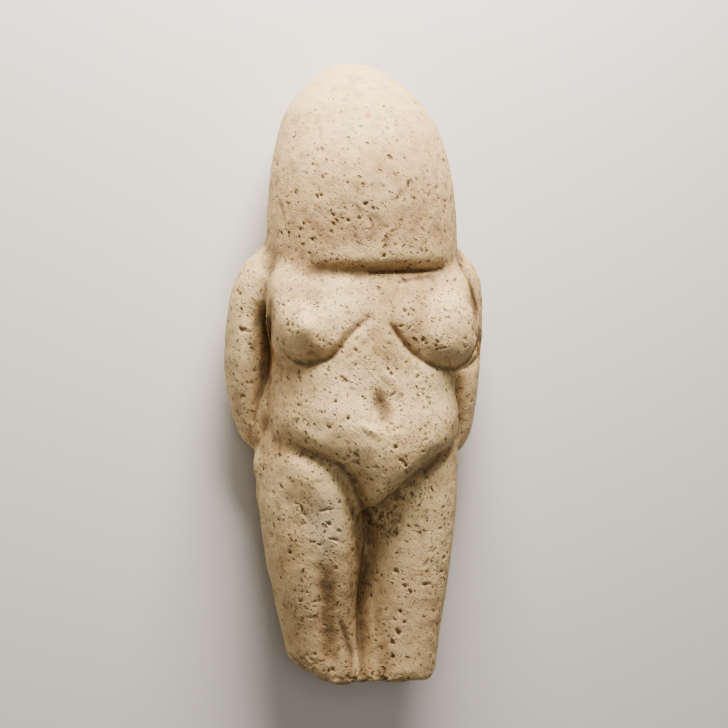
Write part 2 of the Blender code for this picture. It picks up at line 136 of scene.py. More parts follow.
# cuts and raises the skin along the eye's lines of sight
class Chisel:
    def __init__(self, thing):
        self.mesh = thing.data
        points = readPoints(self.mesh) / percent + block["origin"]
        angle = math.radians(eye["turn"])
        right = np.array((math.cos(angle), 0, math.sin(angle)))
        toward = np.array((-math.sin(angle), 0, math.cos(angle)))
        ray = points - (toward * eye["distance"] + right * eye["across"] + np.array((0, eye["along"], 0)))
        reach = -ray @ toward
        self.points = points
        self.across = eye["across"] + (ray @ right) / reach * eye["distance"]
        self.along = eye["along"] + ray[:, 1] / reach * eye["distance"]
        self.sight = -ray / np.linalg.norm(ray, axis=1)[:, None]
        facing = np.sum(readPoints(self.mesh, "normal") * self.sight, axis=1)
        self.faced = np.clip((facing + strokes["fadeFrom"]) / strokes["fadeOver"], 0, 1)
        self.push = np.zeros(len(points))

    # distance from a path, the path's third value there, and which side of it
    def alongPath(self, points):
        line = smoothPath(points)
        nearest = np.full(len(self.push), 1e9)
        carried = np.zeros(len(self.push))
        onLeft = np.zeros(len(self.push), dtype=bool)
        low = line[:, :2].min(axis=0) - strokes["search"]
        high = line[:, :2].max(axis=0) + strokes["search"]
        inside = (self.across > low[0]) & (self.across < high[0])
        near = np.nonzero(inside & (self.along > low[1]) & (self.along < high[1]))[0]
        x, y = self.across[near], self.along[near]
        best, value, left = nearest[near], carried[near], onLeft[near]
        for one, two in zip(line, line[1:]):
            runX, runY = two[0] - one[0], two[1] - one[1]
            share = ((x - one[0]) * runX + (y - one[1]) * runY) / (runX**2 + runY**2 + 1e-12)
            share = np.clip(share, 0, 1)
            offX, offY = x - one[0] - share * runX, y - one[1] - share * runY
            distance = np.hypot(offX, offY)
            closer = distance < best
            best = np.where(closer, distance, best)
            value = np.where(closer, one[2] + (two[2] - one[2]) * share, value)
            left = np.where(closer, runX * (y - one[1]) - runY * (x - one[0]) > 0, left)
        nearest[near], carried[near], onLeft[near] = best, value, left
        return nearest, carried, onLeft

    def groove(self, points, leftReach, rightReach, power=1.6):
        nearest, depth, onLeft = self.alongPath(points)
        fall = np.clip(1 - nearest / np.where(onLeft, leftReach, rightReach), 0, 1)
        self.push -= depth * fall**power * self.faced

    # how far the skin lies from a centre, along a turned direction and across it
    def turnedFrom(self, across, along, turn):
        angle = math.radians(turn)
        x, y = self.across - across, self.along - along
        return x * math.cos(angle) + y * math.sin(angle), y * math.cos(angle) - x * math.sin(angle)

    def swell(self, across, along, reachAcross, reachAlong, turn, height):
        x, y = self.turnedFrom(across, along, turn)
        one, two = x / reachAcross, y / reachAlong
        self.push += height * np.exp(-(one**2 + two**2) * strokes["swellFall"]) * self.faced

    def finish(self):
        moved = (self.points + self.sight * self.push[:, None] - block["origin"]) * percent
        writePoints(self.mesh, moved)


# crisp cuts: path of (across, along, depth), reach to the left, reach to the right, hollowness
creases = {
    "underTheHead": (
        [(1.5, 66.1, 0.0), (4.4, 66.1, 0.6), (8.0, 66.25, 0.8), (11.5, 66.4, 0.7), (14.2, 66.7, 0.0)],
        0.7, 0.3, 1.2,
    ),
    "secondLineUnderTheHead": (
        [(4.4, 64.2, 0.0), (7.4, 64.8, 0.2), (10.5, 65.3, 0.22), (13.0, 65.8, 0.0)],
        0.4, 0.5, 1.2,
    ),
    "underLeftBreast": (
        [(-12.4, 55.2, 0.0), (-11.6, 53.4, 0.2), (-10.2, 52.0, 0.4), (-8.2, 51.3, 0.5), (-6.0, 51.8, 0.5)]
        + [(-3.8, 52.8, 0.5), (-1.5, 55.7, 0.45), (0.7, 57.9, 0.35), (2.8, 59.4, 0.0)],
        1.2, 0.5, 1.3,
    ),
    "underRightBreast": (
        [(5.0, 58.2, 0.0), (5.9, 56.8, 0.7), (7.2, 54.9, 0.7), (8.9, 53.1, 0.6), (10.8, 51.7, 0.6)]
        + [(12.9, 50.9, 0.7), (14.9, 50.5, 0.8), (16.2, 51.0, 0.9), (17.6, 52.4, 1.0), (18.7, 54.3, 0.9)]
        + [(19.0, 56.2, 0.6), (18.8, 58.6, 0.0)],
        1.0, 0.5, 1.3,
    ),
    "leftArm": (
        [(-13.9, 62.0, 0.1), (-13.8, 59.8, 1.0), (-13.9, 57.4, 1.3), (-14.1, 54.6, 1.3), (-14.3, 52.0, 1.2)]
        + [(-14.6, 49.6, 1.0), (-15.3, 46.6, 0.8), (-16.1, 43.8, 0.5), (-16.6, 41.2, 0.2)]
        + [(-16.8, 39.2, 0.0)],
        0.7, 1.6, 1.2,
    ),
    "leftArmPlane": (
        [(-13.8, 61.8, 0.2), (-13.8, 59.6, 1.0), (-13.8, 57.4, 1.4), (-14.0, 54.6, 1.5), (-14.1, 52.0, 1.5)]
        + [(-14.5, 49.6, 1.4), (-15.4, 46.6, 1.1), (-16.2, 43.8, 0.7), (-16.7, 41.2, 0.2)],
        0.3, 4.4, 0.9,
    ),
    "outsideRightBreast": (
        [(16.4, 50.8, 0.0), (17.6, 52.0, 1.0), (18.8, 53.9, 1.5), (19.3, 55.6, 1.3), (19.4, 57.4, 0.3)],
        0.2, 2.4, 0.8,
    ),
    "aroundLeftTip": (
        [(-11.0, 56.4, 0.0), (-10.8, 58.0, 0.2), (-10.0, 59.4, 0.3), (-8.6, 60.1, 0.3), (-7.2, 59.7, 0.2)]
        + [(-6.3, 58.6, 0.0)],
        0.9, 0.35, 1.3,
    ),
    "rightArm": ([(17.7, 65.0, 0.1), (18.3, 62.7, 0.6), (18.9, 60.2, 0.7), (19.1, 57.6, 0.2)], 0.5, 0.5, 1.3),
    "leftFold": (
        [(-11.9, 40.6, 0.0), (-10.4, 38.9, 0.1), (-9.2, 38.1, 0.15), (-6.8, 37.0, 0.15), (-4.6, 36.0, 0.2)]
        + [(-2.8, 34.9, 0.25), (-1.2, 33.0, 0.4), (-0.2, 30.6, 0.7), (0.8, 28.2, 1.0), (1.2, 25.9, 1.2)]
        + [(1.3, 23.4, 1.2)],
        1.4, 0.4, 1.3,
    ),
    "rightFold": (
        [(15.9, 42.2, 0.0), (15.6, 40.2, 0.2), (14.4, 37.4, 0.15), (12.2, 35.3, 0.1), (10.0, 33.3, 0.0)],
        0.5, 1.2, 1.4,
    ),
    "betweenTheLegs": (
        [(1.4, 26.9, 0.2), (1.2, 23.4, 0.8), (0.8, 20.3, 1.6), (0.3, 16.8, 2.2), (0.0, 13.4, 2.5)]
        + [(0.0, 9.6, 2.3), (0.3, 5.8, 1.7), (0.6, 2.2, 0.9), (0.7, -4.0, 0.4)],
        2.4, 0.45, 1.5,
    ),
    "lowLeftThigh": (
        [(-3.0, 11.0, 0.0), (-2.3, 9.1, 0.25), (-1.7, 7.0, 0.3), (-1.0, 5.0, 0.25), (-0.6, 3.2, 0.0)],
        0.7, 0.5, 1.3,
    ),
    "navel": (
        [(3.4, 46.6, 0.0), (3.6, 45.6, 0.2), (4.0, 44.5, 0.2), (4.5, 43.0, 0.2), (4.8, 42.0, 0.0)],
        1.6, 1.2, 1.2,
    ),
    "pubicRim": (
        [(2.4, 28.2, 0.0), (2.6, 27.2, -0.5), (3.1, 26.4, -0.6), (3.9, 26.1, -0.4), (4.6, 26.6, 0.0)],
        0.35, 0.6, 1.0,
    ),
}
# soft forms: across, along, reach across, reach along, turn, height
swellings = {
    "headFront": (0.0, 84.0, 15.0, 9.0, 0, 0.5),
    "headAboveRim": (0.5, 71.5, 16.0, 5.0, 0, -0.5),
    "leftTip": (-8.6, 56.8, 2.8, 2.7, -15, 0.65),
    "leftTipBall": (-8.4, 57.0, 2.0, 1.9, -15, 0.4),
    "leftTipLedge": (-8.2, 60.4, 2.0, 0.5, -18, 0.2),
    "underLeftTip": (-7.8, 53.3, 1.0, 1.1, 40, -0.30),
    "ridgeUnderLeftTip": (-5.9, 54.2, 1.0, 2.0, 42, 0.25),
    "leftBreastLow": (-9.4, 54.0, 2.4, 2.2, 0, 0.6),
    "leftLegValley": (-4.6, 14.5, 2.0, 6.0, 5, -0.65),
    "leftLegValleyLow": (-3.9, 6.0, 1.9, 5.0, 6, -0.6),
    "navelHollow": (3.9, 44.4, 2.1, 2.9, 8, -0.5),
    "navelSide": (6.4, 46.0, 1.0, 1.6, 30, -0.3),
    "navelLip": (2.4, 40.9, 2.3, 0.8, -28, 0.5),
    "navelLipRight": (5.8, 40.3, 1.4, 0.7, 10, 0.25),
    "bellyPoint": (4.4, 30.4, 2.2, 1.4, 20, 0.3),
    "bellyLow": (-1.6, 35.4, 3.6, 1.5, -35, 0.5),
    "bellyLowRight": (9.4, 35.0, 3.6, 1.3, 38, 0.4),
    "leftFoldFill": (-6.4, 35.4, 4.4, 1.6, -20, 0.4),
    "rightFoldFill": (11.4, 33.0, 3.6, 1.3, 40, 0.5),
}


def carve(thing):
    front = Chisel(thing)
    for swelling in swellings.values():
        front.swell(*swelling)
    for crease in creases.values():
        front.groove(*crease)
    front.finish()
    smooth(thing, block["carvedRounds"])


# places that are rubbed rounder than the rest: across, along, reach, rounds; the edge is a share of the reach
softEdge = 0.4
softPlaces = {
    "leftBreast": (-8.2, 56.2, 5.6, 46),
    "navel": (4.2, 43.6, 3.6, 16),
    "belly": (3.4, 38.6, 6.5, 16),
    "rightBreast": (12.6, 54.0, 5.0, 30),
    "besideRightBreast": (18.6, 53.6, 2.6, 50),
    "leftFoldOnThigh": (-2.6, 33.6, 5.0, 22),
    "rightFoldOnBelly": (9.0, 34.6, 5.0, 22),
}


def softenPlaces(thing):
    for name, (across, along, reach, rounds) in softPlaces.items():
        chisel = Chisel(thing)
        share = np.hypot(chisel.across - across, chisel.along - along) / reach
        weight = np.clip((1 - share) / softEdge, 0, 1) * chisel.faced
        applyWhere(thing, name, weight, "SMOOTH", factor=0.5, iterations=rounds)


show("copying and softening the block")
grid = block["fineGrid"]
figurine = copyOfNode(block["node"], "figurine_carving")
applyModifier(figurine, "REMESH", mode="VOXEL", voxel_size=block["softGrid"])
smooth(figurine, block["softRounds"])
softenPlaces(figurine)
applyModifier(figurine, "REMESH", mode="VOXEL", voxel_size=grid)
smooth(figurine, block["fineRounds"])
show("carving creases on %d faces" % len(figurine.data.polygons))
carve(figurine)

# hand-carved unevenness and grain, as noise pushed along the skin: size and height in metres, octaves
unevenness = {
    "carvedPlanes": (0.011, 0.00070, 2),
    "toolDents": (0.0034, 0.00036, 2),
    "grain": (0.0012, 0.00012, 3),
}


def cloudNoise(name, size, octaves, kind):
    texture = bpy.data.textures.new(name, "CLOUDS")
    texture.noise_scale = size
    texture.noise_depth = octaves
    texture.noise_type = kind
    return texture


def roughen(thing):
    for name, (size, height, octaves) in unevenness.items():
        applyModifier(thing, "DISPLACE", texture=cloudNoise(name, size, octaves, "SOFT_NOISE"),
                      strength=height, mid_level=0.5, texture_coords="LOCAL")


show("roughening")
roughen(figurine)

# pores that are deep enough to be in the shape
pores = {
    "count": 1900,
    "length": (0.0006, 0.0018),
    "shortShare": 2.2,  # above 1, short pores outnumber long ones
    "slimness": (0.30, 0.65),
    "depth": (0.35, 0.9),  # as a share of the width
    "slant": -42.0,
    "slantSpread": 38.0,
    "wall": 0.45,
    "lobes": 0.18,
    "margin": 0.0003,
    "sameSide": 0.2,
    "leastRun": 0.2,
}
# single marks as seen from the eye: across, along, length, width, turn, depth, all but the turn in hundredths
markShape = {"wall": 0.5, "lobes": 0.2, "scratchHollow": 1.2}
marks = [
    (6.1, 38.2, 0.75, 0.65, 0, 0.5), (7.0, 36.1, 0.9, 0.4, -20, 0.45), (7.7, 35.3, 0.9, 0.45, -80, 0.5),
    (7.8, 34.2, 1.1, 0.4, -85, 0.45), (0.0, 35.7, 1.1, 0.7, -20, 0.3), (-4.6, 41.4, 1.0, 0.6, -35, 0.3),
    (-5.7, 43.7, 0.9, 0.3, -30, 0.25), (4.9, 50.7, 0.8, 0.5, -70, 0.4), (-2.4, 49.3, 1.2, 0.4, -35, 0.3),
    (-1.4, 48.6, 0.8, 0.35, -40, 0.25), (-7.2, 83.4, 0.6, 0.4, 60, 0.3), (-5.6, 81.4, 0.7, 0.35, -60, 0.3),
    (-6.5, 78.4, 0.9, 0.35, -50, 0.3), (-11.1, 77.1, 0.8, 0.4, -60, 0.3), (-8.6, 73.9, 0.8, 0.4, 80, 0.35),
    (-9.1, 73.0, 0.7, 0.4, 60, 0.3), (-9.3, 71.8, 0.7, 0.35, -70, 0.3), (-8.7, 70.6, 0.6, 0.4, 0, 0.3),
    (-11.0, 72.5, 0.8, 0.4, 70, 0.35), (-3.9, 75.4, 0.8, 0.35, -40, 0.3), (8.1, 80.1, 1.9, 0.5, 82, 0.45),
    (6.0, 81.8, 0.8, 0.35, -60, 0.3), (4.1, 79.9, 0.8, 0.3, -50, 0.3), (2.5, 76.4, 0.9, 0.4, -50, 0.3),
    (4.2, 68.8, 0.8, 0.6, 30, 0.5), (2.2, 74.2, 2.3, 0.35, -68, 0.3), (8.4, 67.4, 0.7, 0.4, 0, 0.35),
    (-18.5, 57.0, 1.0, 0.8, -35, 0.5), (-17.4, 56.7, 1.5, 0.3, -15, 0.3), (-8.9, 28.2, 1.7, 0.45, -82, 0.5),
    (-4.6, 25.9, 0.9, 0.5, -35, 0.4), (-3.0, 24.8, 0.8, 0.5, -40, 0.4), (-5.3, 28.1, 2.6, 0.3, 8, 0.3),
    (-3.8, 23.4, 2.2, 0.35, -12, 0.35), (-10.8, 21.4, 0.8, 0.6, -60, 0.45),
    (-12.2, 31.9, 1.0, 0.5, -60, 0.35),
    (-9.1, 13.6, 0.7, 0.5, 0, 0.4), (-8.8, 10.7, 0.6, 0.4, -50, 0.35), (-4.0, 2.6, 0.8, 0.6, -30, 0.4),
    (-3.4, 18.9, 0.6, 0.4, -40, 0.35), (6.2, 18.4, 1.0, 0.7, -40, 0.4), (7.6, 16.0, 0.7, 0.6, -60, 0.5),
    (8.5, 15.0, 0.7, 0.5, -60, 0.45), (11.0, 16.3, 1.8, 0.4, 2, 0.45), (6.5, 8.6, 1.2, 0.8, -55, 0.55),
    (5.6, 7.0, 1.0, 0.7, -60, 0.5), (7.5, 10.2, 0.7, 0.5, 0, 0.4), (5.5, 26.2, 0.9, 0.5, -40, 0.4),
    (5.7, 24.0, 0.8, 0.5, -60, 0.4), (5.6, 46.6, 1.5, 0.35, 35, 0.3), (7.2, 46.4, 1.2, 0.35, -80, 0.3),
    (4.5, 1.2, 0.9, 0.6, 0, 0.6), (7.2, 0.5, 0.9, 0.6, 80, 0.7), (3.7, 27.4, 1.3, 0.7, 60, 0.8),
    (6.1, 24.6, 1.6, 0.7, 80, 0.6), (5.0, 27.6, 1.2, 0.5, 50, 0.5),
]
# long shallow scratches: path of (across, along, depth), reach
scratches = [
    ([(-13.0, 78.8, 0.0), (-12.4, 77.2, 0.16), (-11.9, 75.4, 0.18), (-11.4, 74.0, 0.0)], 0.3),
    ([(-0.7, 77.6, 0.0), (0.0, 76.6, 0.14), (0.6, 75.5, 0.0)], 0.26),
    ([(-1.0, 72.7, 0.0), (-0.3, 71.8, 0.14), (0.4, 71.0, 0.0)], 0.26),
    ([(-12.4, 83.0, 0.0), (-13.0, 80.0, 0.12), (-13.3, 77.0, 0.0)], 0.4),
    ([(2.2, 51.2, 0.0), (4.0, 49.0, 0.10), (6.4, 46.8, 0.0)], 0.3),
    ([(9.0, 48.5, 0.0), (11.0, 45.8, 0.12), (13.0, 44.6, 0.0)], 0.3),
    ([(-13.0, 24.0, 0.0), (-12.3, 20.0, 0.10), (-11.4, 16.5, 0.0)], 0.3),
    ([(9.0, 27.0, 0.0), (10.2, 24.0, 0.10), (10.8, 21.0, 0.0)], 0.3),
]


# how thickly pores lie at a place: few on the crown and the back of the head, many on the belly
cover = {"crown": 98.0, "reach": 22.0, "least": 0.05, "middle": 0.55, "depth": 20.0, "leastBehind": 0.35}


def porousness(along, up):
    head = np.clip((cover["crown"] - along) / cover["reach"], cover["least"], 1.0)
    front = np.clip(cover["middle"] + up / cover["depth"], cover["leastBehind"], 1.0)
    return head * front


# distance from a centre as a share of the reach, for an outline with three slight lobes
def lobedShare(one, two, lobes, phase):
    return np.hypot(one, two) * (1 + lobes * np.sin(3 * np.arctan2(two, one) + phase))


def sinkPores(thing):
    chance = np.random.default_rng(block["seed"])
    points = readPoints(thing.data)
    normals = readPoints(thing.data, "normal")
    places = points / percent + block["origin"]
    tree = kdtree.KDTree(len(points))
    for index, point in enumerate(points):
        tree.insert(point, index)
    tree.balance()
    weight = porousness(places[:, 1], places[:, 2])
    starts = chance.choice(len(points), size=pores["count"], replace=False, p=weight / weight.sum())
    depths = np.zeros(len(points))
    shortest, longest = pores["length"]
    for start in starts:
        length = chance.uniform(0, 1) ** pores["shortShare"] * (longest - shortest) + shortest
        width = length * chance.uniform(*pores["slimness"])
        angle = math.radians(pores["slant"] + chance.normal() * pores["slantSpread"])
        depth = width * chance.uniform(*pores["depth"])
        sinkOne(tree, points, normals, depths, start, (length, width, angle, depth))
    writePoints(thing.data, points - normals * depths[:, None])


def sinkOne(tree, points, normals, depths, start, measures):
    length, width, angle, depth = measures
    centre, normal = points[start], Vector(normals[start])
    run = Vector((math.cos(angle), math.sin(angle), 0))
    run = run - normal * run.dot(normal)
    if run.length < pores["leastRun"]:
        run = normal.orthogonal()
    run.normalize()
    side = normal.cross(run)
    around = tree.find_range(Vector(centre), length * 0.6 + pores["margin"])
    found = np.array([index for point, index, distance in around])
    away = points[found] - np.array(centre)
    one = away @ np.array(run) / (length / 2)
    two = away @ np.array(side) / (width / 2)
    share = lobedShare(one, two, pores["lobes"], centre[0] * 9000)
    same = normals[found] @ np.array(normal) > pores["sameSide"]
    depths[found] = np.maximum(depths[found], depth * np.clip((1 - share) / pores["wall"], 0, 1) * same)


def sinkMarks(thing):
    chisel = Chisel(thing)
    for across, along, length, width, turn, depth in marks:
        x, y = chisel.turnedFrom(across, along, turn)
        share = lobedShare(x / (length / 2), y / (width / 2), markShape["lobes"], across * 5)
        chisel.push -= depth * np.clip((1 - share) / markShape["wall"], 0, 1) * chisel.faced
    for path, reach in scratches:
        chisel.groove(path, reach, reach, markShape["scratchHollow"])
    chisel.finish()


show("sinking pores and marks")
sinkPores(figurine)
sinkMarks(figurine)

# rough places: across, along, reach across, reach along, noise size, height; the edge is a share of the reach
roughNoise = {"octaves": 3, "middle": 0.35, "edge": 0.5}
roughPlaces = {
    "pubicPatch": (5.0, 26.0, 2.8, 3.0, 0.0015, 0.0017),
    "leftChip": (-8.6, 3.2, 3.4, 2.6, 0.0022, 0.0010),
    "brokenEdge": (2.0, -1.6, 14.0, 4.4, 0.0026, 0.0016),
}


def roughenPlaces(thing):
    for name, (across, along, reachAcross, reachAlong, size, height) in roughPlaces.items():
        chisel = Chisel(thing)
        share = np.hypot((chisel.across - across) / reachAcross, (chisel.along - along) / reachAlong)
        weight = np.clip((1 - share) / roughNoise["edge"], 0, 1) * chisel.faced
        texture = cloudNoise(name, size, roughNoise["octaves"], "HARD_NOISE")
        applyWhere(thing, name, weight, "DISPLACE", texture=texture, strength=height,
                   mid_level=roughNoise["middle"], texture_coords="LOCAL")


show("roughening the chipped places")
roughenPlaces(figurine)


def thinOut(thing, most):
    triangles = sum(len(face.vertices) - 2 for face in thing.data.polygons)
    if triangles > most:
        applyModifier(thing, "DECIMATE", ratio=most / triangles)


# the worn places on the back stay level with the floor
def levelBack(thing):
    points = readPoints(thing.data)
    points[:, 2] = np.maximum(points[:, 2], 0)
    writePoints(thing.data, points)


show("thinning out")
thinOut(figurine, block["mostTriangles"])
levelBack(figurine)
chooseOnly(figurine)
bpy.ops.object.shade_smooth()


# dirt and painted shade lie where the skin is hollow, wear where it stands out: rounds of easing, and depths
# in metres
skin = {"nearRounds": 3, "farRounds": 26, "pitDepth": 0.00006, "slack": 0.00002, "fullDepth": 0.0003}


def storeHollows(thing):
    mesh = thing.data
    count = len(mesh.vertices)
    edges = np.empty(len(mesh.edges) * 2, dtype=np.int64)
    mesh.edges.foreach_get("vertices", edges)
    edges = edges.reshape(-1, 2)
    points, normals = readPoints(mesh), readPoints(mesh, "normal")
    shares = np.bincount(edges.ravel(), minlength=count).astype(float)[:, None] + 1

    def eased(values, rounds):
        for _ in range(rounds):
            total = values.copy()
            for column in range(values.shape[1]):
                for one, other in ((0, 1), (1, 0)):
                    given = values[edges[:, other], column]
                    total[:, column] += np.bincount(edges[:, one], given, minlength=count)
            values = total / shares
        return values

    near = eased(points, skin["nearRounds"])
    far = eased(near, skin["farRounds"])
    fine = np.sum((near - points) * normals, axis=1)
    broad = np.sum((far - points) * normals, axis=1)
    values = {
        "pit": np.clip(fine / skin["pitDepth"], 0, 1),
        "hollow": np.clip((broad - skin["slack"]) / skin["fullDepth"], 0, 1),
        "worn": np.clip((-broad - skin["slack"]) / skin["fullDepth"], 0, 1),
    }
    for name, value in values.items():
        attribute = mesh.attributes.new(name, "FLOAT", "POINT")
        attribute.data.foreach_set("value", eased(value[:, None], 1)[:, 0])


show("storing hollows and wear")
storeHollows(figurine)


# node helpers: every input is given either a value or the socket that feeds it
def addNode(tree, kind, at, **values):
    node = tree.nodes.new(kind)
    node.location = at
    for name, value in values.items():
        setattr(node, name, value)
    return node


def give(tree, socket, value):
    if isinstance(value, bpy.types.NodeSocket):
        tree.links.new(value, socket)
    else:
        socket.default_value = value


def giveAll(tree, node, **values):
    for name, value in values.items():
        give(tree, node.inputs[name], value)
    return node.outputs


def mathNode(tree, operation, *values, clamp=False, at=(0, 0)):
    node = addNode(tree, "ShaderNodeMath", at, operation=operation, use_clamp=clamp)
    for socket, value in zip(node.inputs, values):
        give(tree, socket, value)
    return node.outputs[0]


def vectorNode(tree, operation, *values, at=(0, 0)):
    node = addNode(tree, "ShaderNodeVectorMath", at, operation=operation)
    for socket, value in zip(node.inputs, values):
        give(tree, socket, value)
    return node.outputs["Value" if operation == "LENGTH" else "Vector"]


def noiseNode(tree, place, scale, detail, roughness, at):
    node = addNode(tree, "ShaderNodeTexNoise", at)
    return giveAll(tree, node, Vector=place, Scale=scale, Detail=detail, Roughness=roughness)


def turnNode(tree, place, angle, at):
    node = addNode(tree, "ShaderNodeVectorRotate", at, rotation_type="Z_AXIS")
    return giveAll(tree, node, Vector=place, Angle=angle)[0]


def spread(tree, value, low, high, at=(0, 0)):
    node = addNode(tree, "ShaderNodeMapRange", at, interpolation_type="SMOOTHSTEP")
    return giveAll(tree, node, **{"Value": value, "From Min": low, "From Max": high})["Result"]


def mixColours(tree, factor, one, two, at=(0, 0)):
    node = addNode(tree, "ShaderNodeMix", at, data_type="RGBA", clamp_factor=True)
    for index, value in ((0, factor), (6, one), (7, (*two, 1.0))):
        give(tree, node.inputs[index], value)
    return node.outputs[2]


# a group with vector inputs where the default is None and float inputs where it is a number
def newGroup(name, inputs, outputs):
    tree = bpy.data.node_groups.new(name, "ShaderNodeTree")
    for label, value in inputs.items():
        kind = "NodeSocketVector" if value is None else "NodeSocketFloat"
        socket = tree.interface.new_socket(label, in_out="INPUT", socket_type=kind)
        if value is not None:
            socket.default_value = value
    for label in outputs:
        tree.interface.new_socket(label, in_out="OUTPUT", socket_type="NodeSocketFloat")
    given = addNode(tree, "NodeGroupInput", (-900, 0)).outputs
    return tree, given, addNode(tree, "NodeGroupOutput", (960, 0))


def placeGroup(tree, group, at, **values):
    return giveAll(tree, addNode(tree, "ShaderNodeGroup", at, node_tree=group), **values)


# scattered oval pores, one in some of the cells, of a size that differs from cell to cell
poreShape = {"smallShare": 1.8, "leastSize": 0.25, "wall": 0.5}


def makePoreGroup():
    inputs = {"Place": None, "Cell": 2.0, "Radius": 0.3, "Share": 0.5, "Stretch": 2.0, "Slant": 0.7}
    tree, given, gives = newGroup("stonePores", inputs, ("Mask", "Depth"))
    turned = turnNode(tree, given["Place"], given["Slant"], (-700, 0))
    squeeze = addNode(tree, "ShaderNodeCombineXYZ", (-700, -200))
    slim = mathNode(tree, "DIVIDE", 1.0, given["Stretch"], at=(-880, -200))
    squeeze = giveAll(tree, squeeze, X=slim, Y=1.0, Z=1.0)[0]
    scaled = vectorNode(tree, "MULTIPLY", turned, squeeze, at=(-520, 0))
    inCells = vectorNode(tree, "DIVIDE", scaled, given["Cell"], at=(-340, 0))
    cells = addNode(tree, "ShaderNodeTexVoronoi", (-160, 0), feature="F1")
    cells = giveAll(tree, cells, Scale=1.0, Vector=inCells)
    chance = giveAll(tree, addNode(tree, "ShaderNodeSeparateColor", (40, -160)), Color=cells["Color"])
    present = mathNode(tree, "LESS_THAN", chance[0], given["Share"], at=(220, -160))
    least = poreShape["leastSize"]
    size = mathNode(tree, "POWER", chance[1], poreShape["smallShare"], at=(220, -340))
    size = mathNode(tree, "MULTIPLY_ADD", size, 1 - least, least, at=(400, -340))
    radius = mathNode(tree, "MULTIPLY", size, given["Radius"], at=(580, -340))
    distance = mathNode(tree, "MULTIPLY", cells["Distance"], given["Cell"], at=(220, 120))
    inside = mathNode(tree, "SUBTRACT", radius, distance, at=(400, 120))
    wall = mathNode(tree, "MULTIPLY", radius, poreShape["wall"], at=(400, -60))
    mask = mathNode(tree, "DIVIDE", inside, wall, clamp=True, at=(580, 120))
    mask = mathNode(tree, "MULTIPLY", mask, present, at=(760, 120))
    giveAll(tree, gives, Mask=mask, Depth=mathNode(tree, "MULTIPLY", mask, radius, at=(760, -60)))
    return tree


# one patch around a centre, for a stain and for painted light and shade, ragged because its place is: where
# it ends and where it is full
patchEdge = (1.2, 0.35)


def makePatchGroup():
    inputs = {"Place": None, "Centre": None, "Reach": None, "Strength": 0.5}
    tree, given, gives = newGroup("stainAndShadingPatch", inputs, ("Mask",))
    away = vectorNode(tree, "SUBTRACT", given["Place"], given["Centre"], at=(-600, 0))
    share = vectorNode(tree, "DIVIDE", away, given["Reach"], at=(-420, 0))
    distance = vectorNode(tree, "LENGTH", share, at=(-240, 0))
    mask = spread(tree, distance, *patchEdge, at=(-60, 0))
    giveAll(tree, gives, Mask=mathNode(tree, "MULTIPLY", mask, given["Strength"], at=(140, 0)))
    return tree


# cloudy spots of one size
def makeMottleGroup():
    inputs = {"Place": None, "Size": 8.0, "From": 0.45, "To": 0.65, "Strength": 1.0}
    tree, given, gives = newGroup("stoneMottle", inputs, ("Mask",))
    scaled = vectorNode(tree, "DIVIDE", given["Place"], given["Size"], at=(-600, 0))
    noise = noiseNode(tree, scaled, 1.0, 3.0, 0.62, (-400, 0))["Fac"]
    mask = spread(tree, noise, given["From"], given["To"], at=(-200, 0))
    giveAll(tree, gives, Mask=mathNode(tree, "MULTIPLY", mask, given["Strength"], at=(0, 0)))
    return tree


# the stone's look, whose pale, warm, tan, mauve and dark colours also serve for painted light and shade:
# colours are linear, sizes in millimetres
stone = {
    "base": (0.55, 0.362, 0.158),
    "pale": (0.70, 0.53, 0.270),
    "warm": (0.45, 0.27, 0.125),
    "pink": (0.47, 0.28, 0.160),
    "olive": (0.36, 0.29, 0.15),
    "tan": (0.27, 0.165, 0.070),
    "grey": (0.50, 0.43, 0.31),
    # a shade colour, used only for painted shade under the right breast and in the right fold
    "paintedShadeMauve": (0.27, 0.20, 0.145),
    # dark browns for the hollows, pits and pores: dirt and painted shade
    "dirtAndShadeBrown": (0.15, 0.08, 0.035),
    "deepDirtAndShade": (0.06, 0.035, 0.018),
    "rust": (0.42, 0.15, 0.035),
    "roughness": 0.88,
    "wornRoughness": -0.16,  # what wear adds to the roughness
    "specular": 0.3,
    "ragged": (7.0, 5.0),  # size and reach of what frays the stains
    "bent": (0.9, 0.9),  # size and reach of what bends the small pores
    "paleOnWear": 0.45,
    # how much the pits and pores darken: dirt and painted shade
    "dirtAndShadeInPits": 0.70,
    "dirtAndShadeInPores": 0.86,
}
# clouds of colour: colour, size, where they start, where they are full, strength
clouds = {
    "paleClouds": ("pale", 24.0, 0.40, 0.66, 0.75),
    "warmClouds": ("warm", 12.0, 0.50, 0.74, 0.42),
    "oliveClouds": ("olive", 6.5, 0.54, 0.76, 0.22),
    "paleSpots": ("pale", 3.1, 0.52, 0.72, 0.40),
    "pinkSpots": ("pink", 4.3, 0.52, 0.70, 0.46),
    "warmGrains": ("warm", 0.95, 0.54, 0.74, 0.34),
    "paleGrains": ("pale", 0.62, 0.54, 0.74, 0.34),
}
hollowDirtAndShadeClouds = (4.0, 0.25, 0.6, 0.14)  # darker in the hollows, dirt and painted shade: size, where it starts, where it is full, strength
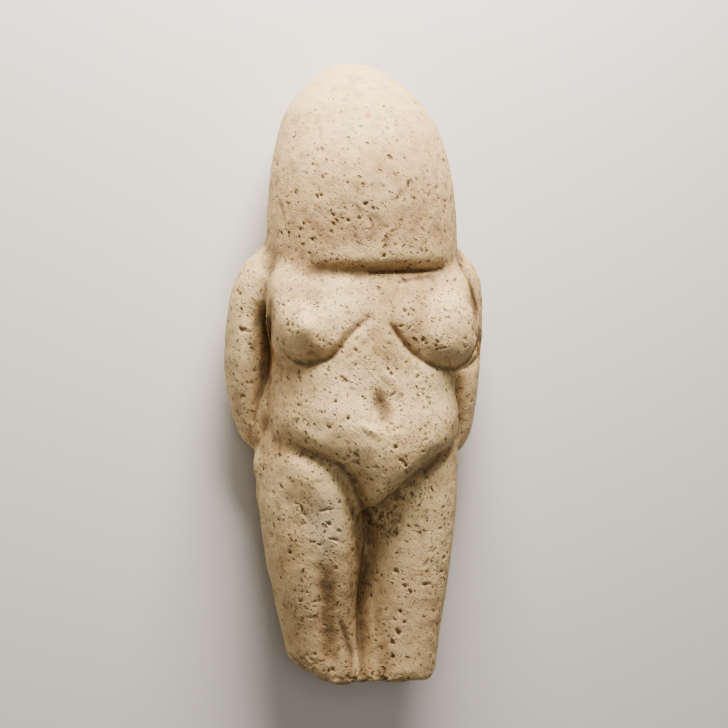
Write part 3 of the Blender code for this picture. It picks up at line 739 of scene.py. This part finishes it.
# stains by place, and painted light and shade by place: colour, strength, centre and reach in hundredths as
# across, along, up
stainsAndPaintedShading = {
    "headRightBlush": ("pink", 0.50, (6.5, 78.0, 12.0), (6.0, 9.5, 12.0)),
    "headMiddlePale": ("grey", 0.45, (-2.5, 72.5, 13.0), (2.8, 7.0, 12.0)),
    # painted shade in the band under the head's rim; painted shade over warm and tan stain on the head's left
    # side and its lower half
    "headLeftWarmAndPaintedShade": ("warm", 0.50, (-10.0, 72.0, 9.0), (4.5, 10.0, 14.0)),
    "headRimPaintedShade": ("warm", 0.40, (-4.0, 67.0, 11.0), (9.0, 1.4, 12.0)),
    "headLowTanAndPaintedShade": ("tan", 0.82, (1.0, 72.5, 11.0), (17.0, 13.0, 20.0)),
    "headLowLeftTanAndPaintedShade": ("tan", 0.60, (-11.0, 68.5, 9.0), (6.0, 6.0, 12.0)),
    # painted shade between the breasts
    "breastbonePaintedShade": ("tan", 0.60, (2.6, 56.5, 9.0), (5.0, 6.5, 14.0)),
    "rightArmTan": ("tan", 0.80, (20.0, 56.0, 2.0), (5.0, 16.0, 12.0)),
    # painted shade on the slanted inner plane of the left arm
    "leftArmPlanePaintedShade": ("tan", 0.45, (-16.2, 52.0, 2.0), (2.6, 9.0, 12.0)),
    "leftShoulderTan": ("tan", 0.40, (-18.0, 58.0, 2.0), (5.0, 9.0, 12.0)),
    # painted light: lightens the shade in the left fold and under the belly's point
    "leftFoldPaintedLight": ("pale", 0.60, (-5.0, 33.5, 12.0), (6.0, 3.5, 9.0)),
    "bellyPointPaintedLight": ("pale", 0.60, (5.0, 32.0, 12.0), (6.0, 3.0, 9.0)),
    # painted shade: darker towards the bottom of the legs, in the valley down the left leg, on the chest
    # under the head, and low on the right thigh
    "lowLegsPaintedShade": ("tan", 0.62, (-3.0, 8.0, 8.0), (9.0, 14.0, 12.0)),
    "leftLegValleyPaintedShade": ("tan", 0.75, (-4.6, 11.0, 8.0), (3.6, 14.0, 12.0)),
    "chestUnderHeadPaintedShade": ("tan", 0.30, (4.0, 62.0, 10.0), (5.0, 4.0, 12.0)),
    "lowRightThighPaintedShade": ("tan", 0.30, (7.0, 8.0, 8.0), (7.0, 10.0, 12.0)),
    # painted light on the ribs, the right thigh and the top of the right breast, a painted highlight on the
    # left breast's tip, painted light over pale stone on the left chest, and painted shade in the middle of
    # the chest
    "ribsPaintedLight": ("pale", 0.70, (-2.0, 48.5, 14.0), (9.0, 4.0, 9.0)),
    "ribsRightPaintedLight": ("pale", 0.80, (10.0, 47.5, 14.0), (6.0, 6.0, 9.0)),
    "leftTipPaintedHighlight": ("pale", 0.80, (-8.6, 58.0, 14.0), (3.0, 3.0, 9.0)),
    "rightThighPaintedLight": ("pale", 0.60, (11.0, 27.0, 9.0), (5.5, 8.0, 9.0)),
    "chestPaleAndPaintedLight": ("pale", 0.55, (-7.0, 62.2, 10.0), (6.0, 3.0, 12.0)),
    "chestMiddlePaintedShade": ("warm", 0.38, (3.5, 60.0, 10.0), (4.0, 4.0, 12.0)),
    "rightBreastPaintedLight": ("pale", 0.50, (12.0, 60.0, 11.0), (5.0, 4.0, 12.0)),
    # painted shade under the right breast, in the right fold and low on the belly
    "underRightBreastPaintedShade": ("paintedShadeMauve", 0.60, (11.0, 53.0, 12.0), (5.0, 1.9, 8.0)),
    "rightFoldPaintedShade": ("paintedShadeMauve", 0.20, (11.0, 35.8, 12.0), (5.4, 1.6, 8.0)),
    "lowBellyPaintedShade": ("warm", 0.20, (1.0, 34.0, 12.0), (5.0, 4.0, 8.0)),
    # painted light on the left and right of the belly
    "bellyPaintedLight": ("pale", 0.45, (-5.0, 44.0, 14.0), (6.0, 4.5, 9.0)),
    "rightBellyPaintedLight": ("pale", 0.45, (11.5, 48.0, 14.0), (3.6, 5.0, 9.0)),
    "leftArmOlive": ("olive", 0.35, (-18.0, 52.0, 0.0), (4.2, 8.0, 8.0)),
    "leftArmRed": ("rust", 0.45, (-14.5, 54.0, 1.0), (1.6, 5.0, 6.0)),
    "leftThighGrey": ("grey", 0.55, (-7.5, 27.0, 9.0), (3.6, 7.0, 8.0)),
    "rightThighBlush": ("pink", 0.45, (7.0, 13.0, 8.0), (4.0, 9.0, 8.0)),
    "leftThighBlush": ("pink", 0.35, (-10.5, 15.0, 7.0), (3.5, 7.0, 8.0)),
    "pubicPale": ("pale", 0.50, (5.0, 26.5, 10.0), (3.4, 3.0, 6.0)),
    "orangeSpeck": ("rust", 0.95, (-0.9, 90.0, 11.0), (0.6, 0.6, 6.0)),
    "oliveSpeck": ("olive", 0.90, (-3.8, 92.6, 9.0), (0.75, 0.75, 6.0)),
    "brownSpeck": ("warm", 0.80, (-5.2, 87.2, 10.0), (0.9, 0.6, 6.0)),
    "whiteChip": ("pale", 0.90, (-8.2, 91.2, 8.0), (0.9, 0.7, 6.0)),
}
# layers of small pores, in the material only: cell, radius, share, stretch, slant
poreLayers = {
    "large": (2.4, 0.75, 0.40, 2.0, 0.75),
    "medium": (1.35, 0.50, 0.85, 1.9, 0.55),
    "crossed": (1.6, 0.50, 0.45, 2.4, -0.95),
    "small": (0.80, 0.32, 1.00, 1.6, 0.9),
    "tiny": (0.62, 0.24, 0.80, 1.5, 0.3),
}


# they thin out from one height to another, and thicken in clouds
poreSpread = {"heights": (92.0, 38.0), "least": 0.08, "clouds": (8.0, 0.38, 0.64, 0.80), "everywhere": 0.32}
# relief in the material, in millimetres, and the lie of the tool strokes
relief = {
    "pores": -1.6,
    "strokes": 0.20,
    "grain": 0.17,
    "strokeAngle": 0.8,
    "strokeStretch": (0.14, 1.6, 0.6),
}
metre = 1000  # in the millimetres that the stone is measured in


def makeStone():
    material = bpy.data.materials.new("porousStone")
    material.use_nodes = True
    tree = material.node_tree
    shader = tree.nodes["Principled BSDF"]
    poreGroup, patchGroup, mottleGroup = makePoreGroup(), makePatchGroup(), makeMottleGroup()
    coordinates = addNode(tree, "ShaderNodeTexCoord", (-2800, 0)).outputs
    mapping = addNode(tree, "ShaderNodeMapping", (-2600, 0))
    place = giveAll(tree, mapping, Scale=(metre, metre, metre), Vector=coordinates["Object"])[0]

    def frayed(size, reach, at):
        noise = noiseNode(tree, place, 1 / size, 3.0, 0.6, at)["Color"]
        middle = vectorNode(tree, "SUBTRACT", noise, (0.5, 0.5, 0.5), at=(at[0] + 180, at[1]))
        return vectorNode(tree, "MULTIPLY_ADD", middle, (reach, reach, reach), place, at=(at[0] + 360, at[1]))

    def clouded(size, low, high, strength, at):
        values = {"Place": place, "Size": size, "From": low, "To": high, "Strength": strength}
        return placeGroup(tree, mottleGroup, at, **values)["Mask"]

    def kept(name, at):
        return addNode(tree, "ShaderNodeAttribute", at, attribute_name=name).outputs["Fac"]

    def tinted(colour, mask, strength, name, at):
        factor = mathNode(tree, "MULTIPLY", mask, strength, at=(at[0] - 200, at[1]))
        return mixColours(tree, factor, colour, stone[name], at=at)

    raggedPlace = frayed(*stone["ragged"], (-2400, 800))
    bentPlace = frayed(*stone["bent"], (-2400, -1400))

    colour = addNode(tree, "ShaderNodeRGB", (-1800, 1200)).outputs[0]
    colour.default_value = (*stone["base"], 1.0)
    at = 1100
    for name, size, low, high, strength in clouds.values():
        at -= 180
        mask = clouded(size, low, high, strength, (-1800, at))
        colour = mixColours(tree, mask, colour, stone[name], at=(-1600, at))
    # stains, and painted light and shade, laid by place
    for name, strength, centre, reach in stainsAndPaintedShading.values():
        at -= 180
        values = {
            "Place": raggedPlace if min(reach) > 1 else place,
            "Centre": (Vector(centre) - Vector(block["origin"])) * percent * metre,
            "Reach": Vector(reach) * percent * metre,
            "Strength": strength,
        }
        mask = placeGroup(tree, patchGroup, (-1800, at), **values)["Mask"]
        colour = mixColours(tree, mask, colour, stone[name], at=(-1600, at))

    worn, hollow, pit = kept("worn", (-1400, 700)), kept("hollow", (-1400, 500)), kept("pit", (-1400, 300))
    colour = tinted(colour, worn, stone["paleOnWear"], "pale", (-1000, 700))
    # darker in the hollows and the pits: dirt and painted shade
    colour = tinted(colour, hollow, clouded(*hollowDirtAndShadeClouds, (-1400, 100)), "dirtAndShadeBrown", (-1000, 500))
    colour = tinted(colour, pit, stone["dirtAndShadeInPits"], "deepDirtAndShade", (-1000, 300))

    # fewer pores towards the crown, and more of them in some clouds
    separate = giveAll(tree, addNode(tree, "ShaderNodeSeparateXYZ", (-2000, -1800)), Vector=place)
    least = poreSpread["least"]
    lower = spread(tree, separate["Y"], *poreSpread["heights"], at=(-1800, -1800))
    lower = mathNode(tree, "MULTIPLY_ADD", lower, 1 - least, least, at=(-1600, -1800))
    many = clouded(*poreSpread["clouds"], (-1800, -2000))
    many = mathNode(tree, "ADD", many, poreSpread["everywhere"], at=(-1600, -2000))
    many = mathNode(tree, "MULTIPLY", lower, many, at=(-1400, -1900))
    mask, depth = 0.0, 0.0
    at = -1000
    for cell, radius, share, stretch, slant in poreLayers.values():
        at -= 260
        some = mathNode(tree, "MULTIPLY", many, share, at=(-1200, at))
        layer = placeGroup(tree, poreGroup, (-1000, at), Place=bentPlace, Share=some, Cell=cell,
                           Radius=radius, Stretch=stretch, Slant=slant)
        mask = mathNode(tree, "MAXIMUM", mask, layer["Mask"], at=(-800, at))
        depth = mathNode(tree, "MAXIMUM", depth, layer["Depth"], at=(-800, at - 100))
    # the pores darken: dirt and painted shade
    colour = tinted(colour, mask, stone["dirtAndShadeInPores"], "dirtAndShadeBrown", (-400, 100))

    # fine scratches run down to the right, over a gritty grain
    slanted = turnNode(tree, raggedPlace, relief["strokeAngle"], (-1600, -2600))
    brushed = vectorNode(tree, "MULTIPLY", slanted, relief["strokeStretch"], at=(-1400, -2600))
    strokeNoise = noiseNode(tree, brushed, 1.0, 3.0, 0.5, (-1200, -2600))["Fac"]
    grain = noiseNode(tree, place, 1.5, 4.0, 0.65, (-1200, -2800))["Fac"]
    height = mathNode(tree, "MULTIPLY", depth, relief["pores"], at=(-600, -1200))
    height = mathNode(tree, "MULTIPLY_ADD", strokeNoise, relief["strokes"], height, at=(-600, -1400))
    height = mathNode(tree, "MULTIPLY_ADD", grain, relief["grain"], height, at=(-600, -1600))
    bump = addNode(tree, "ShaderNodeBump", (-300, -900))
    bump = giveAll(tree, bump, Strength=1.0, Distance=1 / metre, Height=height)
    roughness = mathNode(tree, "MULTIPLY_ADD", worn, stone["wornRoughness"], stone["roughness"],
                         at=(-300, -300))
    looks = {"Base Color": colour, "Roughness": roughness, "Specular IOR Level": stone["specular"]}
    giveAll(tree, shader, **looks, Normal=bump["Normal"])
    return material


show("making the stone")
figurine.data.materials.append(makeStone())
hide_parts(block["node"])
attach(figurine, "root")

show("setting up the floor, camera and lights")
# pale floor
floor = {"size": 4.0, "colour": (0.62, 0.61, 0.59), "roughness": 0.9}
bpy.ops.object.select_all(action="DESELECT")
bpy.ops.mesh.primitive_plane_add(size=floor["size"], location=(0, 0, 0))
ground = bpy.context.object
ground.name = "floor"
paper = bpy.data.materials.new("palePaper")
paper.use_nodes = True
paperShader = paper.node_tree.nodes["Principled BSDF"]
paperShader.inputs["Base Color"].default_value = (*floor["colour"], 1.0)
paperShader.inputs["Roughness"].default_value = floor["roughness"]
ground.data.materials.append(paper)

# camera: looks down on the lying figure, turned about its long axis
camera = {"lens": 85.0, "sensor": 36.0, "frame": 728 / 6.25}
turn = math.radians(eye["turn"])
rightward = Vector((math.cos(turn), 0, math.sin(turn)))
upward = Vector((0, 1, 0))
outward = Vector((-math.sin(turn), 0, math.cos(turn)))
target = (rightward * eye["across"] + upward * eye["along"] - Vector(block["origin"])) * percent
viewer = bpy.data.objects.new("camera", bpy.data.cameras.new("camera"))
viewer.data.lens = camera["lens"]
viewer.data.sensor_width = camera["sensor"]
viewer.data.clip_start = 0.01
placed = Matrix((rightward, upward, outward)).transposed().to_4x4()
placed.translation = target + outward * camera["frame"] * percent * camera["lens"] / camera["sensor"]
viewer.matrix_world = placed
bpy.context.scene.collection.objects.link(viewer)
bpy.context.scene.camera = viewer

# studio light: direction as right, up the figure, towards the camera; distance and size in metres; watts
lights = {
    "topLight": ((0.12, 1.0, 0.46), 0.40, 0.22, 8.2, (1.0, 0.91, 0.80)),
    "leftRim": ((-1.0, 0.15, 0.10), 0.60, 0.30, 1.5, (1.0, 0.92, 0.83)),
    "rightRim": ((1.0, 0.1, 0.05), 0.60, 0.30, 0.2, (1.0, 0.92, 0.83)),
    "frontLight": ((0.1, 0.0, 1.0), 0.70, 0.5, 1.6, (1.0, 0.92, 0.83)),
}
for name, (direction, distance, size, power, tint) in lights.items():
    way = (rightward * direction[0] + upward * direction[1] + outward * direction[2]).normalized()
    lamp = bpy.data.objects.new(name, bpy.data.lights.new(name, "AREA"))
    lamp.data.shape = "DISK"
    lamp.data.size = size
    lamp.data.energy = power
    lamp.data.color = tint
    lamp.location = target + way * distance
    lamp.rotation_euler = (-way).to_track_quat("-Z", "Y").to_euler()
    bpy.context.scene.collection.objects.link(lamp)
surround = {"colour": (1.0, 0.99, 0.97), "strength": 0.04}
world = bpy.data.worlds.new("studio")
world.use_nodes = True
background = world.node_tree.nodes["Background"]
background.inputs["Color"].default_value = (*surround["colour"], 1.0)
background.inputs["Strength"].default_value = surround["strength"]
bpy.context.scene.world = world

show("writing sizes")
